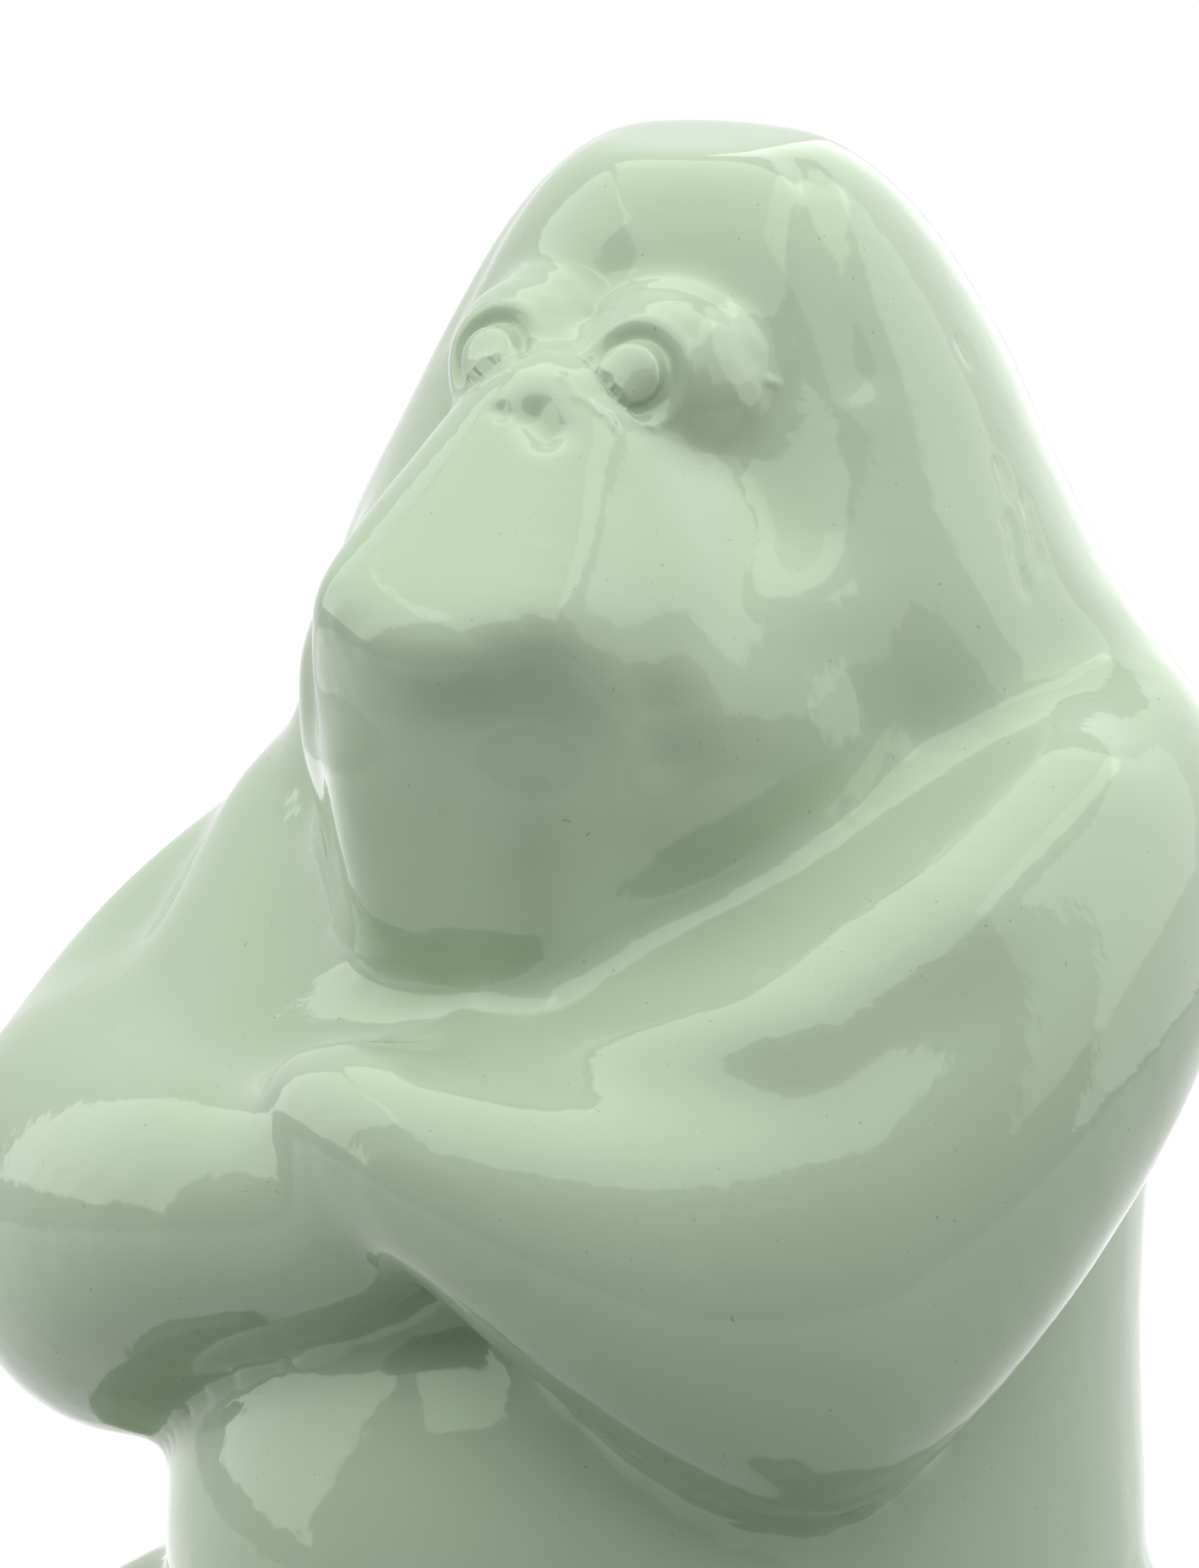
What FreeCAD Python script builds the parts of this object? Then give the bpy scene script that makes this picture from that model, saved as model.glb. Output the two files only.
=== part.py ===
"""Seated ape figurine in glazed earthenware, 205 mm tall, arms folded over its belly.

The figure is slip cast in parts. Torso, head, jaw, muzzle, arms and legs are hollow castings that are
stuck together with slip while they are leather hard. Eyeballs, pupils, eyelids and feet are solid.
A pressed disc with a firing vent closes the pour hole in the base. Air holes lead from each closed
hollow into the torso, because trapped air would burst the figure in the kiln.

Units are millimetres. +Z is up, the figure faces -Y and its left arm is towards +X.
The origin is on the floor, at the middle of the base disc. "Forward" is measured from the upright line
through the crown, "drop" from the top of the crown, and "left" is the figure's own left.
"""
import FreeCAD, Part
import math
import os

# Overall
figure_height = 205.0
trunk_forward = 12.0
cast_wall = 5.0
overrun = 4.0
air_hole_radius = 1.5
ring_points = 24
section_points = 16

# Head casting: from the crown down to the level joint with the torso
head_height = 60.0
head_half_width = 45.5
head_front = 37.5
head_back = 41.0
head_fullness = 2.0
# drop, half width, front reach, back reach
head_ring_shares = (
    (0.0, 0.22, 0.33, 0.165),
    (0.02, 0.315, 0.465, 0.245),
    (0.057, 0.38, 0.51, 0.32),
    (0.10, 0.433, 0.557, 0.41),
    (0.175, 0.511, 0.615, 0.527),
    (0.292, 0.611, 0.668, 0.646),
    (0.408, 0.697, 0.729, 0.735),
    (0.525, 0.775, 0.814, 0.79),
    (0.64, 0.855, 0.897, 0.84),
    (0.757, 0.93, 0.944, 0.91),
    (0.867, 0.98, 0.95, 0.965),
    (1.0, 0.965, 0.88, 1.0),
)

# Torso casting: from the joint with the head down to the floor
torso_half_width = 53.5
torso_front = 64.0
torso_back = 39.0
torso_fullness = 2.15
torso_floor = 5.0
# drop, half width, front reach, back reach
torso_ring_shares = (
    (0.0, 0.81, 0.52, 1.05),
    (0.05, 0.85, 0.51, 1.09),
    (0.11, 0.93, 0.50, 1.13),
    (0.17, 0.985, 0.52, 1.15),
    (0.21, 0.995, 0.63, 1.14),
    (0.25, 0.99, 0.79, 1.11),
    (0.30, 0.98, 0.875, 1.06),
    (0.37, 0.975, 0.93, 0.98),
    (0.48, 0.98, 0.98, 0.91),
    (0.60, 1.0, 1.0, 0.90),
    (0.72, 0.995, 0.985, 0.93),
    (0.83, 0.97, 0.93, 0.99),
    (0.93, 0.93, 0.85, 1.03),
    (1.0, 0.88, 0.77, 1.01),
)

# Jaw casting: cheeks, chin and throat, placed from the joint of head and torso
jaw_top_rise = 19.0
jaw_height = 49.0
jaw_half_width = 34.0
jaw_front = 57.0
jaw_back = 8.0
jaw_axis_forward = 14.0
jaw_fullness = 2.3
# drop, half width, front reach, back reach
jaw_ring_shares = (
    (0.0, 0.66, 0.95, 1.0),
    (0.061, 0.80, 0.98, 1.0),
    (0.12, 0.90, 0.985, 1.0),
    (0.20, 0.97, 0.98, 1.0),
    (0.30, 1.0, 0.98, 1.0),
    (0.40, 1.0, 0.975, 1.0),
    (0.50, 0.985, 0.955, 1.0),
    (0.60, 0.94, 0.92, 1.0),
    (0.69, 0.87, 0.875, 1.0),
    (0.76, 0.79, 0.82, 1.0),
    (0.80, 0.72, 0.74, 1.0),
    (0.835, 0.66, 0.64, 1.0),
    (0.885, 0.60, 0.57, 1.0),
    (1.0, 0.50, 0.50, 1.0),
)

# Muzzle casting: nose and long upper lip, placed from the same joint
muzzle_top_rise = 39.5
muzzle_height = 25.0
muzzle_half_width = 25.0
muzzle_front = 60.5
muzzle_back = 0.0
muzzle_axis_forward = 20.0
muzzle_fullness = 2.9
muzzle_wall = 4.0
# drop, half width, front reach, back reach
muzzle_ring_shares = (
    (0.0, 0.22, 0.60, 1.0),
    (0.03, 0.32, 0.665, 1.0),
    (0.10, 0.40, 0.708, 1.0),
    (0.21, 0.48, 0.755, 1.0),
    (0.354, 0.59, 0.812, 1.0),
    (0.54, 0.74, 0.876, 1.0),
    (0.73, 0.866, 0.93, 1.0),
    (0.875, 0.96, 0.98, 1.0),
    (0.955, 1.0, 1.0, 1.0),
    (1.0, 0.975, 0.98, 1.0),
)
nostril_radius = 2.1
nostril_spread = 2.6
nostril_drop = 2.7
nostril_sink = 0.4

# Eyes: pressed balls with a ring groove, a pellet for the pupil and a strip for the upper lid
eye_radius = 9.8
eye_spread = 7.8
eye_forward = 24.2
eye_rise = 37.9
gaze_up = 14.0
gaze_out = 4.5
pupil_radius = 3.2
pupil_dome_height = 2.4
pupil_peg_depth = 1.6
iris_groove_radius = 4.2
iris_groove_depth = 0.9
eyelid_thickness = 0.7
eyelid_tilt = 32.0
eyelid_rise = 2.5

# Arms: hollow bands round the trunk, as upright ovals at azimuths from straight ahead.
# They stand out from the torso's fullest outline, and are open towards it.
arm_half_height = 26.0
arm_stand_out = 16.0
arm_thickness = 16.0
arm_wall = 4.5
# azimuth in degrees, then centre height, half height, stand-out, half thickness
left_arm_section_shares = (
    (-15, 0.7873, 0.15, 0.394, 0.28),
    (-7, 0.7725, 0.31, 0.679, 0.52),
    (5, 0.7466, 0.45, 0.901, 0.68),
    (18, 0.7095, 0.61, 1.018, 0.81),
    (32, 0.6724, 0.82, 1.033, 0.94),
    (45, 0.6665, 0.97, 1.042, 1.0),
    (58, 0.7021, 1.04, 0.945, 1.0),
    (72, 0.7688, 1.0, 0.851, 0.92),
    (86, 0.8318, 0.95, 0.788, 0.86),
    (100, 0.8874, 0.86, 0.693, 0.80),
    (116, 0.9319, 0.72, 0.349, 0.68),
    (132, 0.9616, 0.48, -0.113, 0.48),
)
right_arm_section_shares = (
    (18, 0.7036, 0.25, 0.208, 0.40),
    (4, 0.7169, 0.365, 0.553, 0.56),
    (-12, 0.6865, 0.52, 0.758, 0.75),
    (-27, 0.6650, 0.655, 0.985, 0.94),
    (-42, 0.6279, 0.86, 1.254, 1.156),
    (-54, 0.6168, 0.95, 1.487, 1.25),
    (-66, 0.6242, 0.95, 1.432, 1.22),
    (-78, 0.6650, 0.92, 1.204, 1.0),
    (-90, 0.7243, 0.85, 0.843, 0.844),
    (-104, 0.7873, 0.75, 0.359, 0.72),
    (-118, 0.8578, 0.65, -0.119, 0.594),
    (-132, 0.9171, 0.42, -0.476, 0.40),
)
arm_hole_azimuth = 90.0

# Legs: hollow castings from the haunch to the knee, as upright ovals across the figure
leg_length = 88.0
leg_back_forward = -26.0
leg_spread = 54.0
leg_half_width = 23.0
left_leg_half_height = 27.0
right_leg_half_height = 23.5
leg_wall = 4.5
# place along the leg, then spread, half width, half height, centre height
leg_section_shares = (
    (0.0, 0.60, 0.42, 0.50, 0.98),
    (0.10, 0.68, 0.74, 0.78, 1.02),
    (0.26, 0.76, 0.96, 0.98, 1.02),
    (0.46, 0.85, 1.0, 1.0, 0.97),
    (0.66, 0.92, 0.93, 0.97, 0.92),
    (0.82, 0.97, 0.80, 0.88, 0.88),
    (0.93, 1.0, 0.60, 0.68, 0.82),
    (1.0, 1.0, 0.33, 0.38, 0.76),
)
leg_hole_height_share = 0.9

# Feet: solid pressed pieces that stick out from under the knees, their heels tucked back
foot_length = 44.0
foot_tuck = 20.0
foot_half_width = 14.0
foot_half_height = 9.5
foot_spread = 52.0
foot_splay = 12.0
sole_share = 0.72
# place along the foot, then half width, half height
foot_section_shares = (
    (0.0, 0.55, 0.95),
    (0.2, 0.80, 1.0),
    (0.5, 0.96, 0.92),
    (0.75, 1.0, 0.76),
    (0.92, 0.84, 0.58),
    (1.0, 0.48, 0.34),
)

# Base disc in the pour hole
pour_hole_radius = 22.0
disc_lip = 3.0
disc_lip_depth = 2.0
firing_vent_radius = 1.75
firing_vent_offset = 12.0

# Worked out from the sizes above
joint_up = figure_height - head_height
muzzle_top_up = joint_up + muzzle_top_rise
foot_back_forward = leg_back_forward + leg_length - foot_tuck
figure_reach = 2 * figure_height
upwards = FreeCAD.Vector(0, 0, 1)


def place(left, forward, up):
    """A point from its distance to the figure's left, forward of the crown and above the floor."""
    return FreeCAD.Vector(left, trunk_forward - forward, up)


def signed_power(value, power):
    return math.copysign(abs(value) ** power, value)


def smooth_ring(points):
    """A closed curve through the points, with evenly spaced parameters so that rings match."""
    curve = Part.BSplineCurve()
    steps = [i / len(points) for i in range(len(points) + 1)]
    curve.interpolate(Points=points, PeriodicFlag=True, Parameters=steps)
    return curve


def loft(rings):
    """A solid through rings that all face the same way."""
    return Part.makeLoft([Part.Wire(ring.toShape()) for ring in rings], True, False)


def bent_loft(rings):
    """A solid through evenly spaced rings that turn as they go, closed by flat ends."""
    surface = Part.BSplineSurface()
    surface.buildFromNSections(rings)
    ends = [Part.Face(Part.Wire(ring.toShape())) for ring in (rings[0], rings[-1])]
    return Part.Solid(Part.Shell([surface.toShape()] + ends))


def level_ring(up, half_width, front, back, axis_forward, fullness):
    """An egg-shaped level ring about an upright line axis_forward of the crown."""
    points = []
    for i in range(ring_points):
        turn = 2 * math.pi * i / ring_points
        left = half_width * signed_power(math.sin(turn), 2 / fullness)
        along = signed_power(math.cos(turn), 2 / fullness)
        reach = front - axis_forward if along > 0 else back + axis_forward
        points.append(place(left, axis_forward + reach * along, up))
    return smooth_ring(points)


def oval_ring(middle, across, half_width, half_height):
    """An upright oval about a point, as wide as half_width along the level direction across."""
    points = []
    for i in range(section_points):
        turn = 2 * math.pi * i / section_points
        sideways = across * (half_width * math.cos(turn))
        points.append(middle + sideways + upwards * (half_height * math.sin(turn)))
    return smooth_ring(points)


def rod(start, direction, length, radius):
    return Part.makeCylinder(radius, length, start, direction)


def largest(shape):
    return max(shape.Solids, key=lambda solid: solid.Volume)


def cut_all(shape, tools):
    for tool in tools:
        shape = shape.cut(tool)
    return shape


def half_space(side):
    """Everything on one side of the figure's middle plane."""
    left = 0.0 if side > 0 else -figure_reach
    corner = FreeCAD.Vector(left, -figure_reach, -figure_reach)
    return Part.makeBox(figure_reach, 2 * figure_reach, 2 * figure_reach, corner)


def below_floor():
    """Everything under the level that the whole figure is ground flat to."""
    corner = FreeCAD.Vector(-figure_reach, -figure_reach, -figure_reach)
    return Part.makeBox(2 * figure_reach, 2 * figure_reach, figure_reach, corner)


def head_rings(inset=0.0):
    return [
        level_ring(
            figure_height - head_height * drop,
            head_half_width * width - inset,
            head_front * front - inset,
            head_back * back - inset,
            0.0,
            head_fullness,
        )
        for drop, width, front, back in head_ring_shares
    ]


def head_cavity():
    mouth = level_ring(
        joint_up - overrun,
        head_half_width - cast_wall,
        head_front - cast_wall,
        head_back - cast_wall,
        0.0,
        head_fullness,
    )
    return loft(head_rings(cast_wall)[3:] + [mouth])


def torso_ring(up, shares, inset=0.0):
    width, front, back = shares
    return level_ring(
        up,
        torso_half_width * width - inset,
        torso_front * front - inset,
        torso_back * back - inset,
        trunk_forward,
        torso_fullness,
    )


def torso_outside():
    return loft([torso_ring(joint_up * (1 - row[0]), row[1:]) for row in torso_ring_shares])


def torso_cavity():
    rings = [torso_ring(joint_up + overrun, torso_ring_shares[0][1:], cast_wall)]
    for row in torso_ring_shares:
        up = torso_floor + (joint_up - torso_floor) * (1 - row[0])
        rings.append(torso_ring(up, row[1:], cast_wall))
    return loft(rings)


def jaw_rings(inset=0.0):
    return [
        level_ring(
            joint_up + jaw_top_rise - jaw_height * drop,
            jaw_half_width * width - inset,
            jaw_front * front - inset,
            jaw_back * back - inset,
            jaw_axis_forward,
            jaw_fullness,
        )
        for drop, width, front, back in jaw_ring_shares
    ]


def muzzle_rings(inset=0.0):
    return [
        level_ring(
            muzzle_top_up - muzzle_height * drop,
            muzzle_half_width * width - inset,
            muzzle_front * front - inset,
            muzzle_back * back - inset,
            muzzle_axis_forward,
            muzzle_fullness,
        )
        for drop, width, front, back in muzzle_ring_shares
    ]


def nostril(side):
    """A ball sunk in the front of the nose, at the muzzle's own reach for that height."""
    fall = nostril_drop / muzzle_height
    for above, below in zip(muzzle_ring_shares, muzzle_ring_shares[1:]):
        if above[0] <= fall <= below[0]:
            share = (fall - above[0]) / (below[0] - above[0])
            reach = muzzle_front * (above[2] + share * (below[2] - above[2]))
    centre = place(side * nostril_spread, reach - nostril_sink, muzzle_top_up - nostril_drop)
    return Part.makeSphere(nostril_radius, centre)


def torso_reach(turn):
    """How far the torso's fullest outline is from the trunk's axis in a direction."""
    front = torso_front - trunk_forward if math.cos(turn) > 0 else torso_back + trunk_forward
    across = abs(math.sin(turn) / torso_half_width) ** torso_fullness
    along = abs(math.cos(turn) / front) ** torso_fullness
    return (across + along) ** (-1 / torso_fullness)


def arm_section(azimuth, centre_height, half_height, stand_out, half_thickness, inset=0.0, open_back=0.0):
    """An upright oval in the plane through the trunk's axis at that azimuth.

    inset draws it in all round, and open_back then moves its inner side towards the axis.
    """
    turn = math.radians(azimuth)
    across = FreeCAD.Vector(math.sin(turn), -math.cos(turn), 0)
    reach = torso_reach(turn) + arm_stand_out * stand_out
    half_width = arm_thickness * half_thickness - inset
    middle = across * (reach - inset - half_width - open_back / 2)
    middle += upwards * (joint_up * centre_height)
    return oval_ring(middle, across, half_width + open_back / 2, arm_half_height * half_height - inset)


def arm_outside(section_shares):
    return bent_loft([arm_section(*row) for row in section_shares])


def arm_cavity(section_shares):
    """The arm's hollow, deep enough to leave its whole inner side open.

    The slip fills the narrow hand and the end behind the shoulder solid.
    """
    return bent_loft([
        arm_section(*row, inset=arm_wall, open_back=arm_thickness) for row in section_shares[4:-3]
    ])


def leg_half_height(side):
    return left_leg_half_height if side > 0 else right_leg_half_height


def leg_rings(side, inset=0.0):
    tall = leg_half_height(side)
    rings = []
    for along, spread, half_width, half_height, centre_height in leg_section_shares:
        middle = place(
            side * leg_spread * spread,
            leg_back_forward + leg_length * along,
            tall * centre_height,
        )
        rings.append(oval_ring(
            middle,
            FreeCAD.Vector(1, 0, 0),
            leg_half_width * half_width - inset,
            tall * half_height - inset,
        ))
    return rings


def foot_outside(side):
    """A tapering paw whose ovals reach a little under the floor, where the sole is ground flat."""
    rings = []
    for along, half_width, half_height in foot_section_shares:
        middle = place(
            side * foot_spread,
            foot_back_forward + foot_length * along,
            foot_half_height * half_height * sole_share,
        )
        rings.append(oval_ring(
            middle,
            FreeCAD.Vector(1, 0, 0),
            foot_half_width * half_width,
            foot_half_height * half_height,
        ))
    foot = loft(rings)
    foot.rotate(place(side * foot_spread, foot_back_forward, 0.0), upwards, side * foot_splay)
    return foot


def gaze(side):
    """The level-turned and raised direction that an eye looks in."""
    out = math.radians(gaze_out)
    rise = math.radians(gaze_up)
    return FreeCAD.Vector(
        side * math.sin(out) * math.cos(rise), -math.cos(out) * math.cos(rise), math.sin(rise)
    )


def eye_centre(side):
    return place(side * eye_spread, eye_forward, joint_up + eye_rise)


def eyeball(side):
    """A ball with a pocket for the pupil's peg and a round groove about it."""
    centre = eye_centre(side)
    look = gaze(side)
    ball = Part.makeSphere(eye_radius, centre)
    seat = centre + look * (eye_radius - pupil_peg_depth)
    pocket = rod(seat, look, pupil_peg_depth + overrun, pupil_radius)
    groove_middle = centre + look * math.sqrt(eye_radius ** 2 - iris_groove_radius ** 2)
    groove = Part.makeTorus(iris_groove_radius, iris_groove_depth, groove_middle, look)
    return ball.cut(pocket).cut(groove)


def pupil(side):
    """A round pellet: a peg in the eyeball's pocket and a dome on top."""
    look = gaze(side)
    seat = eye_centre(side) + look * (eye_radius - pupil_peg_depth)
    peg = rod(seat, look, pupil_peg_depth, pupil_radius)
    dome_radius = (pupil_radius ** 2 + pupil_dome_height ** 2) / (2 * pupil_dome_height)
    dome_centre = seat + look * (pupil_peg_depth + pupil_dome_height - dome_radius)
    dome = Part.makeSphere(dome_radius, dome_centre)
    above = rod(seat + look * pupil_peg_depth, look, 2 * dome_radius, pupil_radius)
    return peg.fuse(dome.common(above)).removeSplitter()


def eyelid(side):
    """A strip pressed over the top of the ball, down to a plane that clears the ring groove."""
    centre = eye_centre(side)
    outer = eye_radius + eyelid_thickness
    shell = Part.makeSphere(outer, centre).cut(Part.makeSphere(eye_radius, centre))
    above = Part.makeBox(4 * outer, 4 * outer, 2 * outer, FreeCAD.Vector(-2 * outer, -2 * outer, 0))
    above.rotate(FreeCAD.Vector(0, 0, 0), FreeCAD.Vector(1, 0, 0), -eyelid_tilt)
    above.translate(centre + upwards * eyelid_rise)
    return shell.common(above)


def base_disc():
    """A stepped disc that fills the pour hole, with its firing vent."""
    middle = FreeCAD.Vector(0, 0, 0)
    plug = rod(middle, upwards, torso_floor, pour_hole_radius)
    lip = rod(middle, upwards, disc_lip_depth, pour_hole_radius + disc_lip)
    vent_foot = FreeCAD.Vector(0, firing_vent_offset, -overrun)
    vent = rod(vent_foot, upwards, torso_floor + 2 * overrun, firing_vent_radius)
    return plug.fuse(lip).removeSplitter().cut(vent)


def pour_hole():
    start = FreeCAD.Vector(0, 0, -overrun)
    hole = rod(start, upwards, torso_floor + 2 * overrun, pour_hole_radius)
    rebate = rod(start, upwards, disc_lip_depth + overrun, pour_hole_radius + disc_lip)
    return hole.fuse(rebate)


def air_hole(side, azimuth, up):
    """A level hole from the trunk's axis outwards, through the torso's wall."""
    turn = math.radians(side * azimuth)
    outwards = FreeCAD.Vector(math.sin(turn), -math.cos(turn), 0)
    return rod(FreeCAD.Vector(0, 0, up), outwards, torso_half_width + overrun, air_hole_radius)


def torso_casting(outside):
    shell = outside.cut(torso_cavity()).cut(pour_hole())
    for side, arm_shares in ((1, left_arm_section_shares), (-1, right_arm_section_shares)):
        arm_up = joint_up * arm_shares[-4][1]
        leg_up = leg_half_height(side) * leg_hole_height_share
        shell = shell.cut(air_hole(side, arm_hole_azimuth, arm_up))
        shell = shell.cut(air_hole(side, arm_hole_azimuth, leg_up))
    return shell


def head_casting(outside):
    """The hood of hair, with air holes behind the middle of the jaw and of the muzzle."""
    shell = outside.cut(head_cavity())
    for up in (joint_up + jaw_top_rise / 2, muzzle_top_up - muzzle_height / 2):
        start = place(0.0, 0.0, up)
        shell = shell.cut(rod(start, FreeCAD.Vector(0, -1, 0), head_front + overrun, air_hole_radius))
    return shell


def face(head, torso):
    """Jaw, muzzle and the six pieces of the eyes, cut to sit on the head and on each other."""
    jaw_solid = loft(jaw_rings())
    muzzle_solid = loft(muzzle_rings())
    jaw = jaw_solid.cut(loft(jaw_rings(cast_wall)[2:-1]))
    muzzle = muzzle_solid.cut(loft(muzzle_rings(muzzle_wall)[3:-1]))
    for side in (1, -1):
        muzzle = muzzle.cut(nostril(side))
    pieces = {
        "jaw": largest(cut_all(jaw, (head, torso))),
        "muzzle": largest(cut_all(muzzle, (head, jaw_solid))),
    }
    for side, name in ((1, "left"), (-1, "right")):
        own_half = half_space(side)
        pieces[name + "_eyeball"] = largest(
            cut_all(eyeball(side).common(own_half), (head, muzzle_solid))
        )
        pieces[name + "_eyelid"] = largest(
            cut_all(eyelid(side).common(own_half), (head, muzzle_solid))
        )
        pieces[name + "_pupil"] = pupil(side)
    return pieces, jaw_solid


def arms(trunk):
    """Both arms, cut to the trunk, with the left forearm laid over the right one."""
    right = arm_outside(right_arm_section_shares)
    left = largest(cut_all(arm_outside(left_arm_section_shares), trunk + (right,)))
    right = largest(cut_all(right, trunk))
    return {
        "left_arm": largest(left.cut(arm_cavity(left_arm_section_shares))),
        "right_arm": largest(right.cut(arm_cavity(right_arm_section_shares))),
    }


def legs(torso, floor):
    pieces = {}
    for side, name in ((1, "left"), (-1, "right")):
        solid = loft(leg_rings(side))
        hollow = loft(leg_rings(side, leg_wall)[1:-1])
        pieces[name + "_leg"] = largest(cut_all(solid.cut(hollow), (torso, floor)))
        pieces[name + "_foot"] = largest(cut_all(foot_outside(side), (solid, torso, floor)))
    return pieces


def build():
    head = loft(head_rings())
    torso = torso_outside()
    pieces = {"torso_casting": torso_casting(torso), "head_casting": head_casting(head)}
    face_pieces, jaw_solid = face(head, torso)
    pieces.update(face_pieces)
    pieces.update(arms((head, torso, jaw_solid)))
    pieces.update(legs(torso, below_floor()))
    pieces["base_disc"] = base_disc()
    return pieces


def main():
    os.makedirs("parts", exist_ok=True)
    for name, shape in build().items():
        print(name, len(shape.Solids), round(shape.Volume), shape.isValid())
        shape.exportStep("parts/" + name + ".step")


main()
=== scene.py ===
"""Seated ape figurine in pale mint glaze, arms folded over its belly, on a bare earthenware foot.

Units are metres in the CAD model's frame: +Z is up, the figure faces -Y and its left is towards +X.
The sections follow the making of the real figure, after the camera and before the white sweep.
"""
import math

import bmesh
import bpy
import numpy as np
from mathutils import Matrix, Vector
from mathutils.bvhtree import BVHTree


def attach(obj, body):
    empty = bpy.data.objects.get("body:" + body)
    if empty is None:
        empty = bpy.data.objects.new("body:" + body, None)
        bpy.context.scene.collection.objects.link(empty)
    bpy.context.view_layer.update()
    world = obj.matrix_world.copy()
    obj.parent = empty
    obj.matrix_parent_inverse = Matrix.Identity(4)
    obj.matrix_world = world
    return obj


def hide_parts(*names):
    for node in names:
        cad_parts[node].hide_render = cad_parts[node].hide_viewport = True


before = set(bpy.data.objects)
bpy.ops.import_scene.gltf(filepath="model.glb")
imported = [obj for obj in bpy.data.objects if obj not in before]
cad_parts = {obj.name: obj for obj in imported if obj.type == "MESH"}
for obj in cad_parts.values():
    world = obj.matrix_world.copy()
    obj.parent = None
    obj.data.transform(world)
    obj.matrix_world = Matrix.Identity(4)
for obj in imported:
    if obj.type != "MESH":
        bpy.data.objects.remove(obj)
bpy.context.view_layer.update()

scene = bpy.context.scene
scene.view_settings.view_transform = "Standard"

# Camera
# A long lens 0.9 m away, 31 degrees round to the figure's left and 14 degrees above level.
# The picture is 1680 x 2197 pixels, and its middle looks at the jaw.
picture_width, picture_height = 1680, 2197
pixel = 0.00007638
film = 36.0
look_at = Vector((-0.0050, -0.0049, 0.1362))
camera_place = Vector((0.4432, -0.7556, 0.3613))
sight = look_at - camera_place
camera_data = bpy.data.cameras.new("camera")
camera_data.sensor_width = film
camera_data.lens = film * sight.length / (picture_height * pixel)
camera = bpy.data.objects.new("camera", camera_data)
camera.location = camera_place
camera.rotation_mode = "QUATERNION"
camera.rotation_quaternion = sight.to_track_quat("-Z", "Y")
scene.collection.objects.link(camera)
scene.camera = camera
picture_right = camera.rotation_quaternion @ Vector((1, 0, 0))
picture_up = camera.rotation_quaternion @ Vector((0, 1, 0))


def line_of_sight(px, py):
    """The direction from the camera through a pixel of the 1680 x 2197 picture."""
    across = (px - picture_width / 2) * pixel
    upward = (picture_height / 2 - py) * pixel
    return (sight + picture_right * across + picture_up * upward).normalized()


# Castings as they leave their moulds
# Torso, head, jaw, muzzle, arms and legs are slip cast, the eyeballs and feet are pressed solid.
# They are stuck together leather hard, so their copies are heaped up here to share one skin.
castings = ("torso_casting", "head_casting", "jaw", "muzzle", "left_eyeball", "right_eyeball",
            "left_arm", "right_arm", "left_leg", "right_leg", "left_foot", "right_foot")
bung_radius = 0.024
bung_height = 0.0025
bung_up = 0.0035
doubles = 1e-6


def node_copy(name):
    """A merged bmesh of a CAD node, whose own mesh is left alone."""
    shape = bmesh.new()
    shape.from_mesh(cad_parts[name].data)
    bmesh.ops.remove_doubles(shape, verts=shape.verts, dist=doubles)
    return shape


def add_to(pile, shape):
    """Puts a bmesh on a pile of others and frees it."""
    loose = bpy.data.meshes.new("loose")
    shape.to_mesh(loose)
    shape.free()
    pile.from_mesh(loose)
    bpy.data.meshes.remove(loose)


def link_piece(name, shape):
    """A new object from a bmesh, which is freed."""
    mesh = bpy.data.meshes.new(name)
    shape.to_mesh(mesh)
    shape.free()
    piece = bpy.data.objects.new(name, mesh)
    scene.collection.objects.link(piece)
    return piece


def apply_modifiers(piece):
    """Turns the live modifiers into mesh."""
    ready = piece.evaluated_get(bpy.context.evaluated_depsgraph_get())
    mesh = bpy.data.meshes.new_from_object(ready)
    piece.modifiers.clear()
    old = piece.data
    piece.data = mesh
    bpy.data.meshes.remove(old)


heap = bmesh.new()
for name in castings:
    if name != "muzzle":
        add_to(heap, node_copy(name))
# a wax bung keeps the slip out of the pour hole
bung = bmesh.ops.create_cone(heap, cap_ends=True, segments=48, radius1=bung_radius,
                             radius2=bung_radius, depth=bung_height)
bmesh.ops.translate(heap, verts=bung["verts"], vec=(0, 0, bung_up))

# Clay worked on at the seams
# The modeller fills the muzzle, jaw, shoulders, belly and the mane's foot out with soft clay.
# Each lump is a stretched skin over balls, given as left, forward of the crown, drop and radius in mm.
crown_back = 0.012
crown_up = 0.205
millimetre = 0.001
big_ball = 15


def modelled_point(left, forward, drop):
    """A point given the way the modeller measures, from the top of the crown."""
    return Vector((left * millimetre, crown_back - forward * millimetre, crown_up - drop * millimetre))


def add_lump(balls, mirrored=True):
    """Adds the convex skin over some balls, and its mirror image."""
    for side in ((1, -1) if mirrored else (1,)):
        lump = bmesh.new()
        for left, forward, drop, radius in balls:
            ball = bmesh.ops.create_icosphere(lump, subdivisions=3 if radius < big_ball else 5,
                                              radius=radius * millimetre)
            bmesh.ops.translate(lump, verts=ball["verts"],
                                vec=modelled_point(side * left, forward, drop))
        hull = bmesh.ops.convex_hull(lump, input=lump.verts)
        inside = [v for v in hull["geom_interior"] if isinstance(v, bmesh.types.BMVert)]
        bmesh.ops.delete(lump, geom=inside, context="VERTS")
        add_to(heap, lump)


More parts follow.
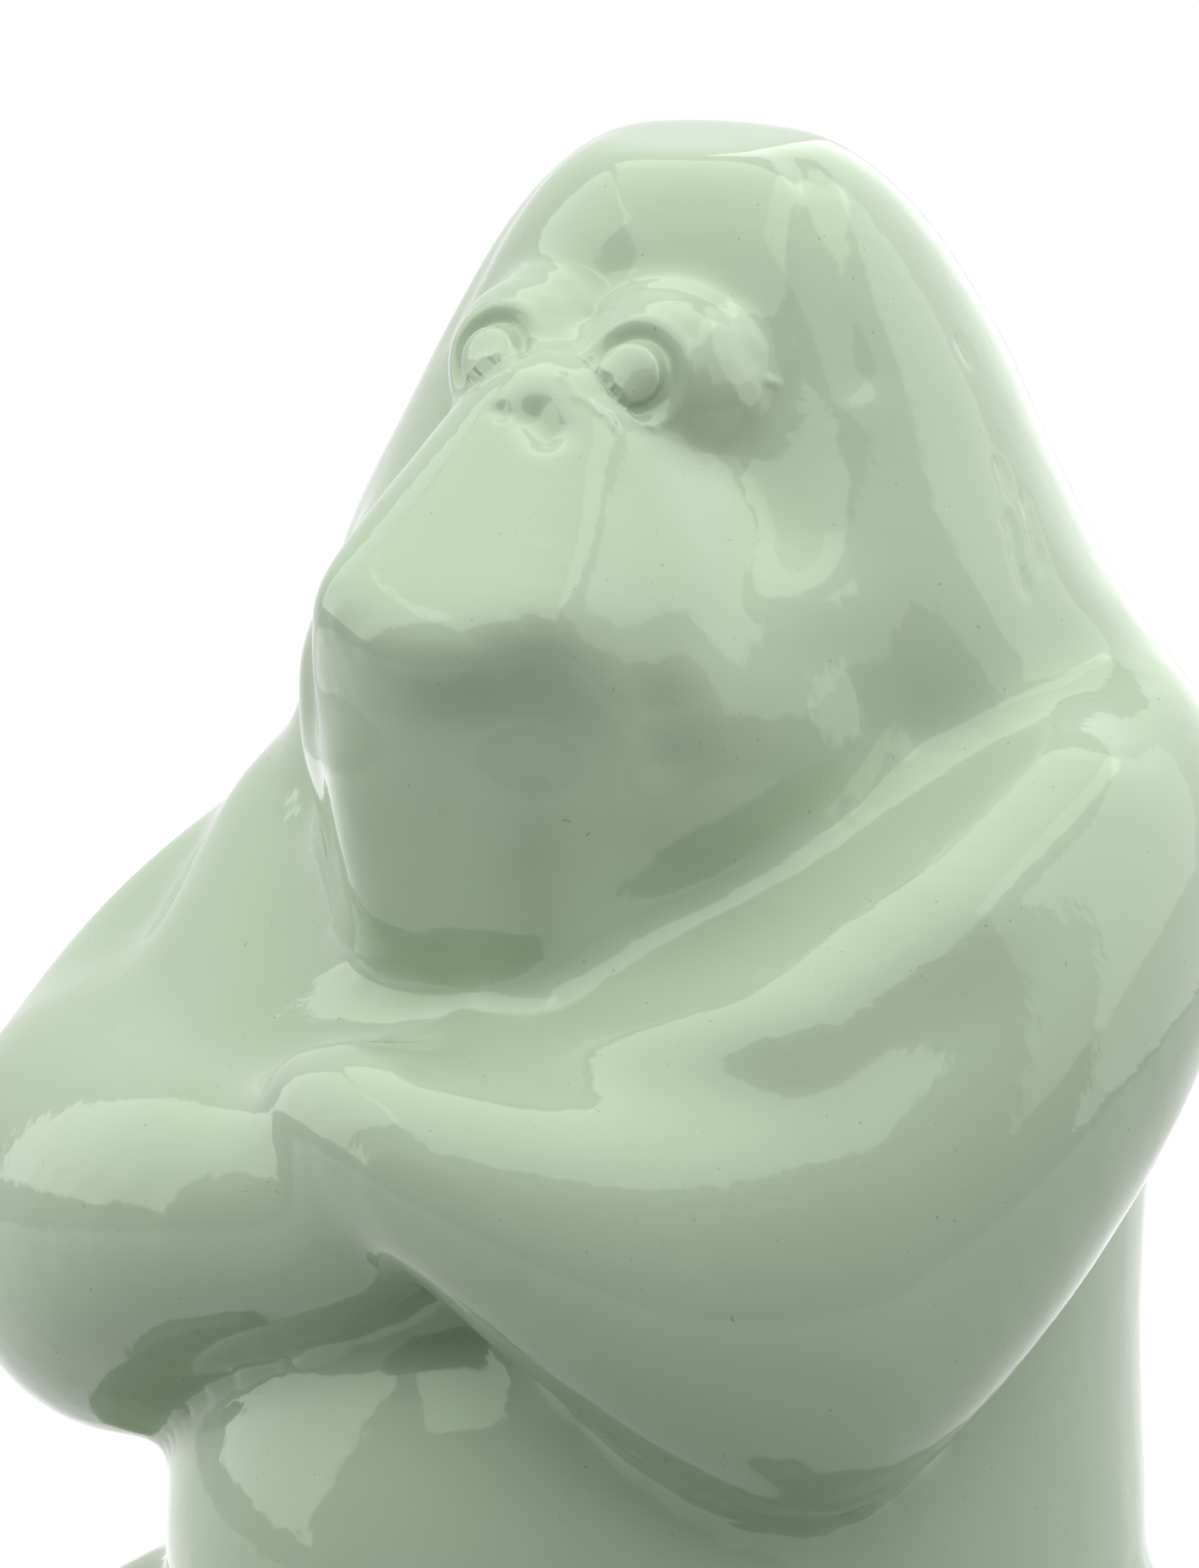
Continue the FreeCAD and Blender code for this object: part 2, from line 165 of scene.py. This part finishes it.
# long wedge of the muzzle: nose, flat top down to the lip, and flanks back to the cheeks
add_lump((
    (0.0, 35.0, 24.5, 7.0), (3.0, 36.5, 25.0, 6.0), (-3.0, 36.5, 25.0, 6.0),
    (4.5, 41.0, 29.0, 5.5), (-4.5, 41.0, 29.0, 5.5),
    (9.0, 46.5, 35.5, 5.5), (-9.0, 46.5, 35.5, 5.5),
    (10.9, 54.7, 42.1, 5.4), (-10.9, 54.7, 42.1, 5.4),
    (6.0, 57.3, 44.4, 4.8), (-6.0, 57.3, 44.4, 4.8), (0.0, 58.4, 45.5, 4.8),
    (8.0, 51.5, 50.0, 6.5), (-8.0, 51.5, 50.0, 6.5),
    (15.0, 41.0, 57.0, 10.0), (-15.0, 41.0, 57.0, 10.0),
    (20.0, 24.0, 47.0, 9.0), (-20.0, 24.0, 47.0, 9.0),
    (8.0, 22.0, 30.0, 6.0), (-8.0, 22.0, 30.0, 6.0),
), mirrored=False)
# round balls under the eyelids
add_lump(((7.9, 24.4, 22.3, 10.1),))
# lower face: one full form from under the lip down to the chin and back to the mane's edge
lower_face = (
    (8.0, 51.5, 48.0, 6.5), (0.0, 53.5, 50.5, 6.5), (15.0, 41.0, 51.0, 9.5), (9.0, 53.0, 59.0, 6.5),
    (8.5, 51.5, 67.5, 6.5), (7.5, 50.5, 74.0, 7.0), (24.0, 24.0, 45.5, 8.0), (27.5, 12.0, 44.0, 8.0),
    (29.5, 5.0, 52.5, 9.5), (27.0, 16.0, 64.5, 10.0), (22.0, 27.0, 74.5, 10.0), (26.5, 16.0, 73.0, 9.5),
    (21.5, 27.0, 83.0, 9.5), (15.5, 33.5, 86.0, 9.5), (9.0, 36.5, 87.0, 9.5), (10.0, 0.0, 70.0, 9.0),
)
add_lump(lower_face + tuple((-left, forward, drop, radius) for left, forward, drop, radius in lower_face),
         mirrored=False)
# side of the mane, from beside the eye down to the shoulder
add_lump((
    (26.0, 8.0, 33.0, 7.0), (30.0, 2.0, 38.0, 8.0), (33.0, -2.0, 45.0, 8.5), (37.0, -2.0, 53.0, 9.0),
    (38.0, -4.0, 60.0, 9.0), (27.5, 12.0, 44.0, 8.0), (32.0, 7.0, 53.0, 8.5), (22.0, 18.0, 38.0, 8.0),
))
# shoulder and chest: one shelf from under the jaw out to the top of the left arm
add_lump((
    (38.0, -4.0, 62.0, 10.0), (36.0, 3.0, 69.5, 10.0), (15.0, 37.0, 95.5, 9.0), (9.0, 46.0, 92.0, 9.5),
    (0.0, 47.0, 91.0, 9.5), (49.0, 3.0, 64.5, 9.5), (50.5, 14.0, 66.0, 10.0), (47.5, 33.0, 75.0, 10.0),
    (37.5, 49.0, 84.0, 9.0), (21.5, 56.0, 90.0, 8.5), (5.0, 58.0, 93.0, 8.0),
), mirrored=False)
# the lower shelf over the right arm
add_lump((
    (-36.0, 3.0, 69.0, 9.0), (-44.0, 2.0, 73.0, 8.0), (-45.0, 14.0, 79.0, 9.0), (-42.0, 34.0, 91.0, 9.0),
    (-29.0, 48.0, 96.0, 8.5), (-12.0, 54.0, 96.0, 8.0), (5.0, 57.0, 96.0, 8.0), (-9.0, 47.0, 92.0, 9.5),
    (0.0, 47.0, 91.0, 9.5),
), mirrored=False)
# round belly below the arms, filled up to the forearms in its middle
add_lump(((0.0, 29.0, 148.0, 45.0),), mirrored=False)
add_lump(((-10.0, 55.0, 122.5, 9.0), (16.0, 53.0, 122.5, 9.0), (3.0, 50.0, 130.0, 9.0)), mirrored=False)
# foot of the mane over each shoulder and across the back, so that the hood runs out into the body
for side, stand_out in ((1, 52.0), (-1, 45.0)):
    add_lump((
        (side * 36.0, -4.0, 49.0, 7.0), (side * 40.0, 2.0, 57.0, 7.0), (side * 47.0, -10.0, 64.0, 8.0),
        (side * 33.0, -19.0, 60.0, 9.0), (side * 25.0, -16.0, 45.0, 9.0),
        (side * stand_out, 0.0, 74.0, 8.0), (side * 40.0, 4.0, 64.0, 8.0), (side * 40.0, -18.0, 80.0, 9.0),
    ), mirrored=False)
add_lump((
    (0.0, -24.0, 45.0, 9.0), (25.0, -17.0, 46.0, 9.0),
    (33.0, -21.0, 70.0, 9.0), (0.0, -28.0, 70.0, 9.0),
))

# One skin of slip
# Wet slip is wiped into every seam until the castings share one skin, which is sponged smooth.
# The face is then gone over with finer tools, so its mesh is finer there.
seam_cell = 0.0016
wiping_passes = 11
face_passes = 2
face_low, face_high = modelled_point(-34, 66, 62), modelled_point(34, 14, 8)

skin = link_piece("skin", heap)
wet = skin.modifiers.new("slip", "REMESH")
wet.mode = "VOXEL"
wet.voxel_size = seam_cell
wet.use_smooth_shade = True
wiped = skin.modifiers.new("wiped", "SMOOTH")
wiped.factor = 0.5
wiped.iterations = wiping_passes
apply_modifiers(skin)

# the hollows inside the castings get no slip: only the outer skin, which holds the crown, is kept
outer = bmesh.new()
outer.from_mesh(skin.data)
front = {max(outer.verts, key=lambda vert: vert.co.z)}
reached = set(front)
while front:
    front = {edge.other_vert(vert) for vert in front for edge in vert.link_edges} - reached
    reached |= front
bmesh.ops.delete(outer, geom=[vert for vert in outer.verts if vert not in reached], context="VERTS")
outer.to_mesh(skin.data)
outer.free()

# throat, chest, shoulders and the sides of the mane are wiped far longer, and the rest of the front less
throat_top, throat_bottom, chin_top, chin_forward = 47.0, 106.0, 51.0, 45.0
mane_left, mane_top = 19.0, 24.0
belly_forward, crown_bottom, muzzle_forward = 20.0, 10.0, 36.0
belly_share, crown_share, muzzle_share = 0.35, 0.5, 0.35
sponge_edge = 8.0
sponge_passes = 33
soft = skin.vertex_groups.new(name="soft")
for vert in skin.data.vertices:
    drop = (crown_up - vert.co.z) / millimetre
    forward = (crown_back - vert.co.y) / millimetre
    beside = abs(vert.co.x) / millimetre
    top = chin_top if forward > chin_forward else throat_top
    chest = min((drop - top) / sponge_edge, (throat_bottom + sponge_edge - drop) / sponge_edge, 1.0)
    mane = min((beside - mane_left) / sponge_edge, (drop - mane_top) / sponge_edge,
               (throat_bottom - drop) / sponge_edge, 1.0)
    belly = belly_share * min((drop - throat_bottom) / sponge_edge,
                              (forward - belly_forward) / sponge_edge, 1.0)
    crown = crown_share * min((crown_bottom - drop) / sponge_edge, 1.0)
    muzzle = muzzle_share * min((forward - muzzle_forward) / sponge_edge, 1.0)
    share = max(chest, mane, belly, crown, muzzle)
    if share > 0:
        soft.add([vert.index], share * share * (3 - 2 * share), "REPLACE")
sponged = skin.modifiers.new("sponged", "SMOOTH")
sponged.factor = 0.5
sponged.iterations = sponge_passes
sponged.vertex_group = "soft"
fair = skin.modifiers.new("fair", "SUBSURF")
fair.levels = fair.render_levels = 1
apply_modifiers(skin)


def in_face(point):
    """Whether a point lies in the box round the face."""
    return all(face_low[i] < point[i] < face_high[i] for i in range(3))


fine = bmesh.new()
fine.from_mesh(skin.data)
close_up = {vert for vert in fine.verts if in_face(vert.co)}
edges = [edge for edge in fine.edges if edge.verts[0] in close_up and edge.verts[1] in close_up]
bmesh.ops.subdivide_edges(fine, edges=edges, cuts=1, use_grid_fill=True, smooth=0.0)
bmesh.ops.triangulate(fine, faces=[face for face in fine.faces if len(face.verts) > 4])
close_up = [vert for vert in fine.verts if in_face(vert.co)]
for turn in range(face_passes):
    bmesh.ops.smooth_vert(fine, verts=close_up, factor=0.5,
                          use_axis_x=True, use_axis_y=True, use_axis_z=True)
fine.to_mesh(skin.data)
fine.free()

# Tool marks
# Eyes, nostrils and folds are pressed into the skin with a ring and a blunt stick.
# A mark that the picture shows is laid out by its pixels, along the line of sight to the skin.
eye_middle_left, eye_middle_forward, eye_middle_drop = 7.8, 24.2, 22.1
ball_radius, ball_reach, ball_front = 0.0101, 0.0118, 0.0035
gaze_rise, gaze_out = math.radians(14.0), math.radians(4.5)
# pupil dome, ring groove, rim and lid edge: distances from the line of gaze, heights and widths in mm
dome_radius, dome_height = 3.5, 1.3
ring_radius, ring_width, ring_depth, ring_deeper_above, ring_core = 4.35, 0.8, 0.75, 0.35, 0.3
rim_radius, rim_width, rim_height = 6.0, 0.6, 0.18
lid_lean = Vector((0.0, 0.53, 0.848))
lid_edge, lid_ramp, lid_height = 2.6, 3.0, 0.25
lid_hold, lid_back = 0.0007, -0.002

count = len(skin.data.vertices)
spots = np.empty(count * 3)
skin.data.vertices.foreach_get("co", spots)
spots = spots.reshape(-1, 3)
faces_out = np.empty(count * 3)
skin.data.vertex_normals.foreach_get("vector", faces_out)
faces_out = faces_out.reshape(-1, 3)
target = BVHTree.FromObject(skin, bpy.context.evaluated_depsgraph_get())
push = np.zeros(count)


def on_skin(px, py):
    """Where the line of sight through a pixel first meets the skin."""
    return target.ray_cast(camera_place, line_of_sight(px, py))[0]


def press(path, width, depth, mirrored=False):
    """Presses a round-bottomed groove along a path, or raises a ridge where depth is negative."""
    for side in ((1, -1) if mirrored else (1,)):
        line = [np.array((side * p[0], p[1], p[2])) for p in path]
        nearest = np.full(count, 1.0)
        for start, end in zip(line, line[1:]):
            along = end - start
            share = np.clip((spots - start) @ along / max(along @ along, 1e-12), 0, 1)
            gap = np.linalg.norm(spots - start - share[:, None] * along, axis=1)
            nearest = np.minimum(nearest, gap)
        push[:] -= depth * np.exp(-(nearest / width) ** 2)


def seen(*pixels):
    """The skin's points that some pixels show."""
    return [on_skin(px, py) for px, py in pixels]


for side in (1, -1):
    middle = modelled_point(side * eye_middle_left, eye_middle_forward, eye_middle_drop)
    look = np.array((side * math.sin(gaze_out) * math.cos(gaze_rise),
                     -math.cos(gaze_out) * math.cos(gaze_rise), math.sin(gaze_rise)))
    offset = spots - np.array(middle)
    away = np.linalg.norm(offset, axis=1)
    depth = offset @ look
    radial = np.linalg.norm(offset - depth[:, None] * look, axis=1) / millimetre
    ball = (away < ball_reach) & (depth > ball_front)
    upper = (offset[:, 2] / millimetre) / np.maximum(radial, ring_core)
    dome = dome_height * np.sqrt(np.clip(1 - (radial / dome_radius) ** 2, 0, 1))
    ring = (ring_depth + ring_deeper_above * upper) * np.exp(-((radial - ring_radius) / ring_width) ** 2)
    rim = rim_height * np.exp(-((radial - rim_radius) / rim_width) ** 2)
    push += np.where(ball, (dome - ring + rim) * millimetre, 0.0)
    lid = np.clip((offset @ np.array(lid_lean) / millimetre - lid_edge) / lid_ramp, 0, 1)
    lid = lid * lid * (3 - 2 * lid)
    on_ball = np.exp(-((away - ball_radius) / lid_hold) ** 2)
    push += lid_height * millimetre * lid * on_ball * (depth > lid_back) * (side * spots[:, 0] > 0)

# nostrils: a small one on the far side and a deep oval one on the near side
press(seen((698, 572), (702, 578)), 0.0009, 0.0007)
press(seen((744, 578), (764, 602)), 0.0021, 0.0017)
# fold of the cheek, with the hollow beside it
press(seen((905, 640), (950, 740), (978, 860), (990, 990)), 0.0045, -0.0004, True)
press(seen((925, 1000), (925, 1060)), 0.0035, 0.0009, True)
# slip that oozed out between nose and eye, and a spur of it beside the eye
press(seen((787, 528), (800, 541), (806, 556), (822, 562), (838, 578), (852, 584), (858, 598)),
      0.0005, -0.0002, True)
press(seen((1076, 534), (1088, 537)), 0.0005, -0.0002)
# slits that the comb left in the mane
for top_px, bottom_px in (((1402, 650), (1414, 690)), ((1412, 725), (1424, 762)), ((1436, 700), (1456, 788)),
                          ((1422, 775), (1438, 828)), ((1345, 480), (1358, 505))):
    press(seen(top_px, bottom_px), 0.0008, 0.00035)
# shallow comb mark in the hair
press(seen((1130, 240), (1150, 330), (1170, 420), (1200, 520)), 0.0035, 0.0005, True)

spots += faces_out * push[:, None]
skin.data.vertices.foreach_set("co", spots.ravel())
skin.data.update()

# Castings under the skin
# Each casting keeps its own name: the skin is divided where the nearest casting changes.
# A share is given the casting's wall, and keeps the skin's own normals, so that no seam shows.
wall = 0.0018
owner_turns, owner_faces = 3, 3
# a large casting gets a wider mesh over its plain back and foot, away from its rim
most_faces = 45000
plain_below = 0.048
rim_rings = 4
widenings = 2
nodes = castings + ("left_eyelid", "right_eyelid", "left_pupil", "right_pupil")
cores = bmesh.new()
for number, name in enumerate(nodes):
    core = node_copy(name)
    for face in core.faces:
        face.material_index = number
    add_to(cores, core)
cores.faces.ensure_lookup_table()
core_tree = BVHTree.FromBMesh(cores)
owners = [cores.faces[core_tree.find_nearest(face.center)[2]].material_index for face in skin.data.polygons]
cores.free()
# a face that lies among three of another casting's goes to that casting
whole = bmesh.new()
whole.from_mesh(skin.data)
for turn in range(owner_turns):
    before = list(owners)
    for face in whole.faces:
        around = [before[other.index] for edge in face.edges for other in edge.link_faces
                  if other is not face]
        if any(owner != before[face.index] for owner in around):
            most = max(set(around), key=around.count)
            if around.count(most) >= owner_faces:
                owners[face.index] = most
whole.free()


def place_key(point):
    """A point as a key that survives copying."""
    return tuple(round(c, 7) for c in point)


skin_normals = {}
for vert, normal in zip(skin.data.vertices, skin.data.vertex_normals):
    skin_normals[place_key(vert.co)] = normal.vector.copy()

pieces = []
for number, name in enumerate(nodes):
    share = bmesh.new()
    share.from_mesh(skin.data)
    others = [face for face, owner in zip(share.faces, owners) if owner != number]
    bmesh.ops.delete(share, geom=others, context="FACES")
    if len(share.faces) > most_faces:
        kept = {vert for vert in share.verts if vert.is_boundary}
        for turn in range(rim_rings):
            kept |= {edge.other_vert(vert) for vert in kept for edge in vert.link_edges}
        plain = [vert for vert in share.verts if vert not in kept
                 and (vert.co.y > crown_back or vert.co.z < plain_below)]
        bmesh.ops.unsubdivide(share, verts=plain, iterations=widenings)
    piece = link_piece(name + "_glazed", share)
    cast = piece.modifiers.new("wall", "SOLIDIFY")
    cast.thickness = wall
    cast.offset = -1.0
    apply_modifiers(piece)
    normals = [skin_normals.get(place_key(vert.co), (0.0, 0.0, 0.0)) for vert in piece.data.vertices]
    piece.data.polygons.foreach_set("use_smooth", [True] * len(piece.data.polygons))
    piece.data.normals_split_custom_set_from_vertices(normals)
    piece.data.materials.clear()
    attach(piece, "root")
    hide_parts(name)
    pieces.append(piece)
bpy.data.objects.remove(skin)

# Mint glaze
# One transparent mint glaze covers all but the foot: paler where it runs thin, deeper where it pools,
# with a few iron specks from the clay and the soft swell of a brushed and fired coat.
# Sockets 0, 6 and 7 of a colour mix are its share, its first and its second colour.
mint_thin, mint_pooled = (0.445, 0.56, 0.40, 1), (0.395, 0.505, 0.35, 1)
iron = (0.20, 0.30, 0.18, 1)


class Wire:
    """A shader socket that adds, multiplies and compares as a number does."""

    def __init__(self, tree, socket):
        self.tree = tree
        self.socket = socket

    def node(self, kind, settings=None, inputs=None, output=0):
        """A new node by its type, its settings, and the values or links of its sockets."""
        made = self.tree.nodes.new(kind)
        for key, value in (settings or {}).items():
            setattr(made, key, value)
        for key, value in (inputs or {}).items():
            target = made.inputs[key]
            if isinstance(value, Wire):
                self.tree.links.new(value.socket, target)
            else:
                target.default_value = value
        return Wire(self.tree, made.outputs[output])

    def maths(self, operation, other=0.0, swap=False):
        """A Math node on this socket and another value or socket."""
        pair = (other, self) if swap else (self, other)
        return self.node("ShaderNodeMath", {"operation": operation}, {0: pair[0], 1: pair[1]})

    def __add__(self, other):
        return self.maths("ADD", other)

    __radd__ = __add__

    def __mul__(self, other):
        return self.maths("MULTIPLY", other)

    __rmul__ = __mul__

    def __sub__(self, other):
        return self.maths("SUBTRACT", other)

    def __rsub__(self, other):
        return self.maths("SUBTRACT", other, swap=True)


def new_material(name):
    """A node material, its Principled shader and its Object coordinates."""
    material = bpy.data.materials.new(name)
    material.use_nodes = True
    tree = material.node_tree
    shader = tree.nodes["Principled BSDF"]
    place = Wire(tree, tree.nodes.new("ShaderNodeTexCoord").outputs["Object"])
    return material, tree, shader, place


glaze, tree, shader, place = new_material("mint_glaze")
shader.inputs["Roughness"].default_value = 0.07
shader.inputs["IOR"].default_value = 1.52
shader.inputs["Specular Tint"].default_value = (0.82, 1.0, 0.76, 1)
clouds = place.node("ShaderNodeTexNoise", None, {"Vector": place, "Scale": 38.0, "Detail": 3.0})
tone = clouds.node("ShaderNodeMix", {"data_type": "RGBA"}, {0: clouds, 6: mint_pooled, 7: mint_thin}, 2)
specks = place.node("ShaderNodeTexNoise", None, {"Vector": place, "Scale": 1300.0, "Detail": 1.0})
speck = specks.node("ShaderNodeMapRange", None, {0: specks, 1: 0.76, 2: 0.80, 3: 0.0, 4: 0.6})
spotted = tone.node("ShaderNodeMix", {"data_type": "RGBA"}, {0: speck, 6: tone, 7: iron}, 2)
tree.links.new(spotted.socket, shader.inputs["Base Color"])
peel = place.node("ShaderNodeTexNoise", None, {"Vector": place, "Scale": 420.0, "Detail": 2.0})
swell = place.node("ShaderNodeTexNoise", None, {"Vector": place, "Scale": 75.0, "Detail": 2.0})
stretch = place.node("ShaderNodeMapping", None, {"Vector": place, "Scale": (1.0, 1.0, 0.16)})
combed = stretch.node("ShaderNodeTexNoise", None, {"Vector": stretch, "Scale": 260.0, "Detail": 3.0})
height = peel * 0.09 + swell * 0.55 + combed * 0.10
bump = height.node("ShaderNodeBump", None, {"Height": height, "Distance": 0.00035, "Strength": 1.0})
tree.links.new(bump.socket, shader.inputs["Normal"])
for piece in pieces:
    piece.data.materials.append(glaze)

# Bare foot ring
# The disc that closes the pour hole is wiped clean of glaze, so that it doesn't stick to the kiln shelf.
# It is buff earthenware with a little grog in it, rough to the touch.
bisque, tree, shader, place = new_material("bisque")
clay_pale, clay_buff = (0.82, 0.76, 0.67, 1), (0.74, 0.67, 0.57, 1)
grog = place.node("ShaderNodeTexNoise", None, {"Vector": place, "Scale": 900.0, "Detail": 3.0})
clay = grog.node("ShaderNodeMix", {"data_type": "RGBA"}, {0: grog, 6: clay_buff, 7: clay_pale}, 2)
tree.links.new(clay.socket, shader.inputs["Base Color"])
tooth = grog.node("ShaderNodeBump", None, {"Height": grog, "Distance": 0.0001, "Strength": 1.0})
tree.links.new(tooth.socket, shader.inputs["Normal"])
shader.inputs["Roughness"].default_value = 0.85
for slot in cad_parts["base_disc"].material_slots:
    slot.material = bisque

# White sweep and softboxes
# The figure stands on a round of white paper in a white tent, with a large softbox above it,
# two smaller ones beside it and a card behind its left shoulder.
white = (1, 1, 1, 1)
tent_light, sweep_glow, sweep_white, sweep_shade = 0.19, 0.45, 0.6, 0.25
sweep_radius = 0.5
figure_middle = Vector((0, 0, 0.12))


def seen_directly(tree):
    """One for rays from the camera, straight or by way of gloss or glass, and nought for the others."""
    path = tree.nodes.new("ShaderNodeLightPath")
    direct = Wire(tree, path.outputs["Is Camera Ray"])
    for ray in ("Is Glossy Ray", "Is Transmission Ray"):
        direct = direct.maths("MAXIMUM", Wire(tree, path.outputs[ray]))
    return direct


world = bpy.data.worlds.new("studio")
world.use_nodes = True
scene.world = world
tree = world.node_tree
tent = tree.nodes["Background"]
tent.inputs["Color"].default_value = white
tent.inputs["Strength"].default_value = tent_light
direct = seen_directly(tree)
backdrop = direct.node("ShaderNodeBackground", None, {"Color": white, "Strength": 1.0})
studio = direct.node("ShaderNodeMixShader", None, {0: direct, 1: Wire(tree, tent.outputs[0]), 2: backdrop})
tree.links.new(studio.socket, tree.nodes["World Output"].inputs[0])

sweep_shape = bmesh.new()
bmesh.ops.create_circle(sweep_shape, cap_ends=True, segments=96, radius=sweep_radius)
sweep = link_piece("sweep", sweep_shape)
white_paper, tree, shader, place = new_material("white_paper")
shader.inputs["Roughness"].default_value = 0.9
shader.inputs["Emission Strength"].default_value = 1.0
direct = seen_directly(tree)
tree.links.new((direct * sweep_white + sweep_shade).socket, shader.inputs["Base Color"])
tree.links.new((direct * sweep_glow).socket, shader.inputs["Emission Color"])
sweep.data.materials.append(white_paper)


def softbox(name, stand, width, height, power):
    """A flat lamp that faces the middle of the figure."""
    lamp = bpy.data.lights.new(name, "AREA")
    lamp.shape = "RECTANGLE"
    lamp.size, lamp.size_y = width, height
    lamp.energy = power
    box = bpy.data.objects.new(name, lamp)
    box.location = stand
    box.rotation_euler = (figure_middle - Vector(stand)).to_track_quat("-Z", "Y").to_euler()
    scene.collection.objects.link(box)
    return box


softbox("top", (0.05, -0.15, 1.25), 1.9, 1.9, 19.5)
softbox("side", (0.85, 0.40, 0.75), 1.2, 1.2, 4.6)
softbox("left", (-1.0, -0.40, 0.60), 1.0, 1.2, 6.5)
# the card only shows in the glaze, and adds no light to the clay's own colour
card = softbox("card", (0.46, 1.0, 0.50), 2.4, 1.5, 15)
card.visible_diffuse = False
